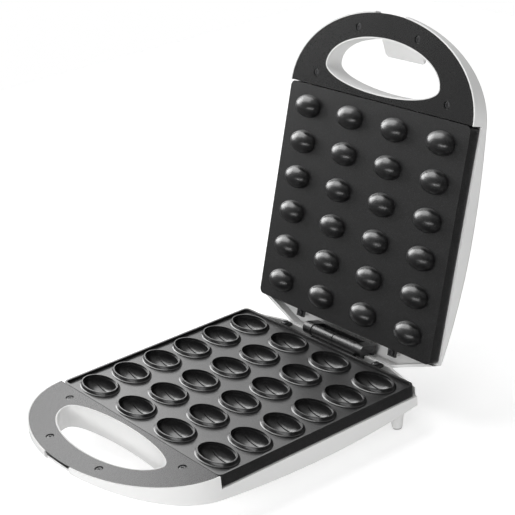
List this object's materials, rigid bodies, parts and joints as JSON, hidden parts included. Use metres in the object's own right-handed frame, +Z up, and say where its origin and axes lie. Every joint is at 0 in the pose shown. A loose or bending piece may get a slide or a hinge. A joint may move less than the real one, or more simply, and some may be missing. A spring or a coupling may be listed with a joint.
{
  "type": "nut-shell cookie baker",
  "caption": "Electric countertop baker with a hinged lid: a plate of nut-shaped moulds below, a plate of domes above, looped handles and a flip latch.",
  "frame": {"origin": "middle of the foot plane, under the centre of the box round the open appliance", "axes": "+Z up, +Y from the handles to the hinge, +X to the user's right"},
  "size_m": [0.23, 0.3862, 0.3087],
  "materials": {
    "white_casing": "satin",
    "dark_trim": "fine grain",
    "non_stick": "dark non-stick coat, satin",
    "screw_steel": "zinc plated",
    "heater_steel": "heat darkened",
    "bright_sheet": "bright",
    "thermostat_body": "matt",
    "fuse_sleeve": "woven glass",
    "terminal_plastic": "matt",
    "inlet_rubber": "matt",
    "foot_rubber": "matt",
    "hinge_plastic": "satin",
    "red_lens": "clear gloss",
    "green_lens": "clear gloss",
    "latch_plastic": "satin"
  },
  "bodies": {
    "base": {"lower_shell": "white_casing", "lower_handle_trim": "dark_trim", "lower_trim_screws": "screw_steel", "lower_plate": "non_stick", "lower_plate_screws": "screw_steel", "lower_heater": "heater_steel", "lower_heater_clips": "bright_sheet", "lower_reflector": "bright_sheet", "lower_thermostat": "thermostat_body", "thermal_fuse": "fuse_sleeve", "terminal_block": "terminal_plastic", "cord_gland": "inlet_rubber", "foot_pads": "foot_rubber", "hinge_barrel": "hinge_plastic"},
    "lid": {"upper_shell": "white_casing", "upper_handle_trim": "dark_trim", "upper_trim_screws": "screw_steel", "upper_plate": "non_stick", "upper_plate_screws": "screw_steel", "upper_heater": "heater_steel", "upper_heater_clips": "bright_sheet", "upper_reflector": "bright_sheet", "upper_thermostat": "thermostat_body", "power_lamp_lens": "red_lens", "ready_lamp_lens": "green_lens", "lamp_holder": "terminal_plastic", "hinge_ears": "hinge_plastic", "hinge_pin": "screw_steel", "latch_pin": "screw_steel"},
    "latch": {"latch_lever": "latch_plastic"}
  },
  "joints": [
    {"name": "lid_hinge", "type": "hinge", "parent": "base", "child": "lid", "pos_m": [0, 0.09033, 0.0386], "axis": [1, 0, 0], "range_deg": [0, 107.2]},
    {"name": "latch_flip", "type": "hinge", "parent": "lid", "child": "latch", "pos_m": [0, 0.17997, 0.30385], "axis": [1, 0, 0], "range_deg": [0, 215]}
  ]
}
